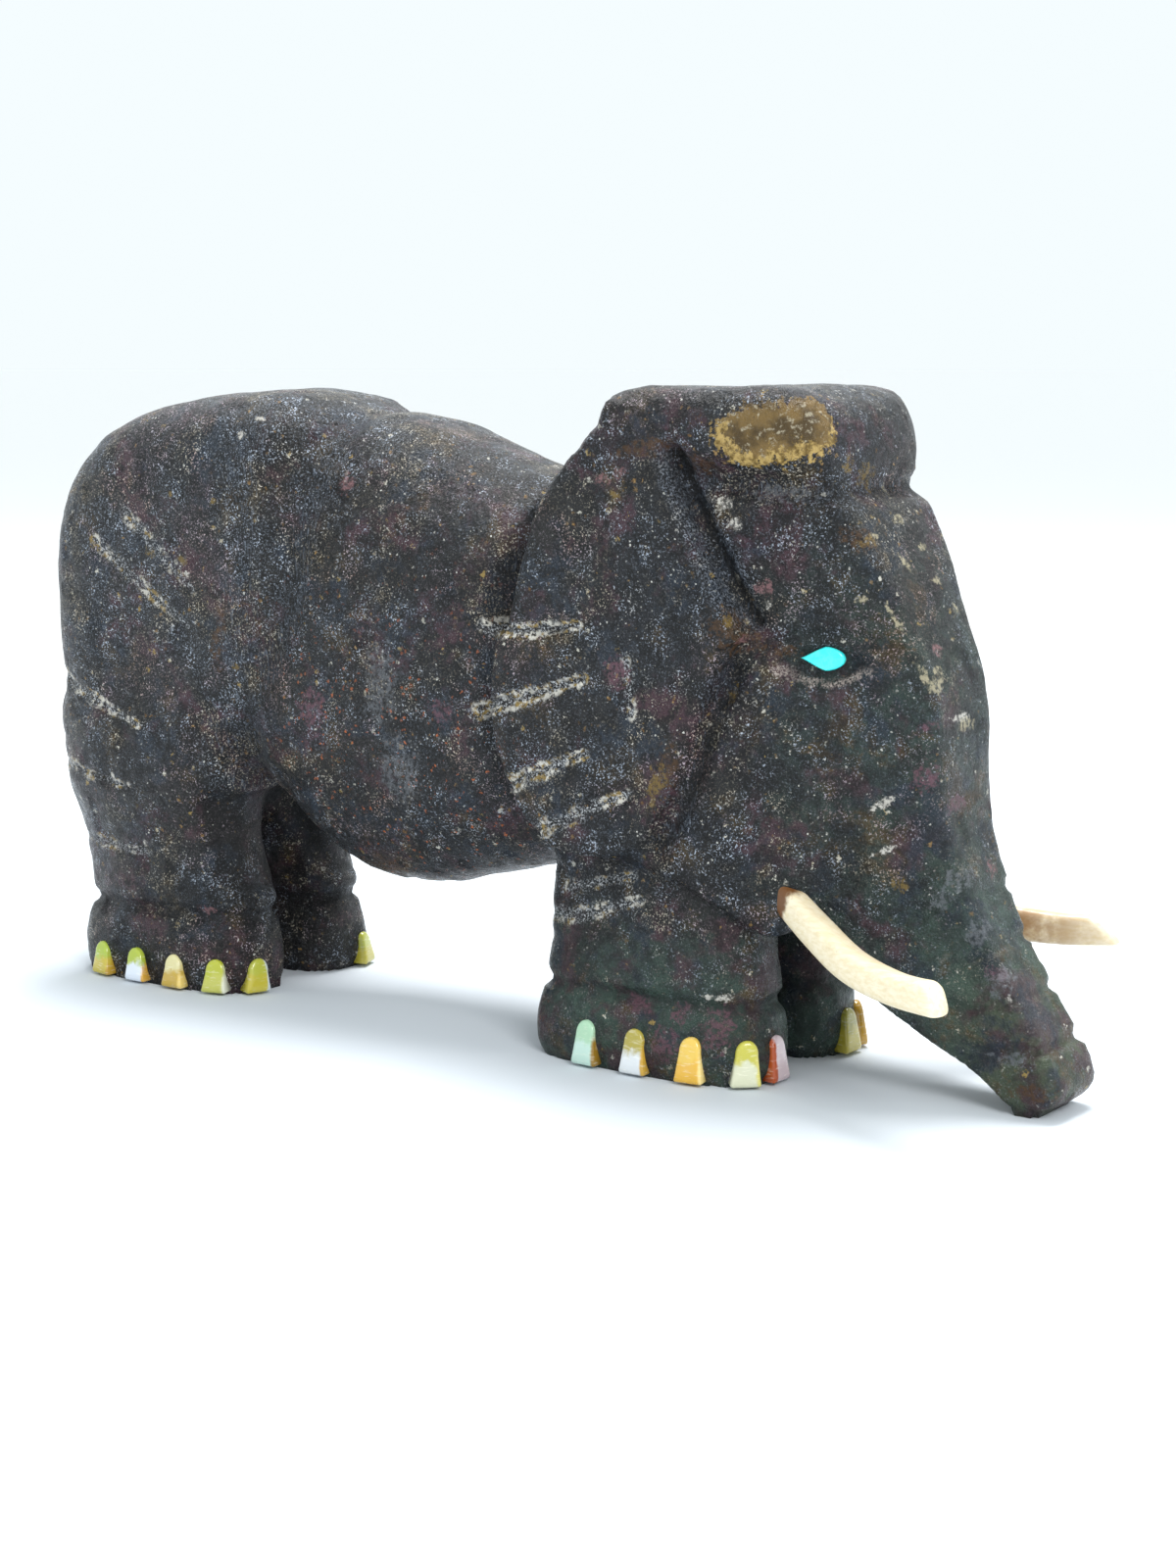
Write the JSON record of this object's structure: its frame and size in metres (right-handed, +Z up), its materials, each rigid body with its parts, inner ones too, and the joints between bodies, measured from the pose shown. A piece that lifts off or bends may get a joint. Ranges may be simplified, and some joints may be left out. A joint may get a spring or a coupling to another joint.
{
  "type": "carved stone elephant figure",
  "caption": "Small elephant carved from one block of dark mottled stone, head low, with set bone tusks, turquoise eyes and shell toenails; it stands on its own feet.",
  "frame": {"origin": "on the ground under the middle of the carving's length, between its left and right feet", "axes": "+X the way the elephant faces, +Y its left, +Z up"},
  "size_m": [0.1604, 0.0498, 0.0851],
  "materials": {
    "stone": "satin-polished dark grey-green stone with white flecks, ochre and plum mineral patches",
    "bone": "smooth cream bone, browner towards the cheek",
    "turquoise": "polished bright turquoise",
    "shell": "polished shell, golden to pearly white"
  },
  "bodies": {
    "root": {"body": "stone", "tusk_right": "bone", "tusk_left": "bone", "eye_right": "turquoise", "eye_left": "turquoise", "nail_hind_right_1": "shell", "nail_hind_right_2": "shell", "nail_hind_right_3": "shell", "nail_hind_right_4": "shell", "nail_hind_right_5": "shell", "nail_hind_left_1": "shell", "nail_hind_left_2": "shell", "nail_hind_left_3": "shell", "nail_hind_left_4": "shell", "nail_hind_left_5": "shell", "nail_fore_right_1": "shell", "nail_fore_right_2": "shell", "nail_fore_right_3": "shell", "nail_fore_right_4": "shell", "nail_fore_right_5": "shell", "nail_fore_left_1": "shell", "nail_fore_left_2": "shell", "nail_fore_left_3": "shell", "nail_fore_left_4": "shell", "nail_fore_left_5": "shell"}
  },
  "joints": []
}
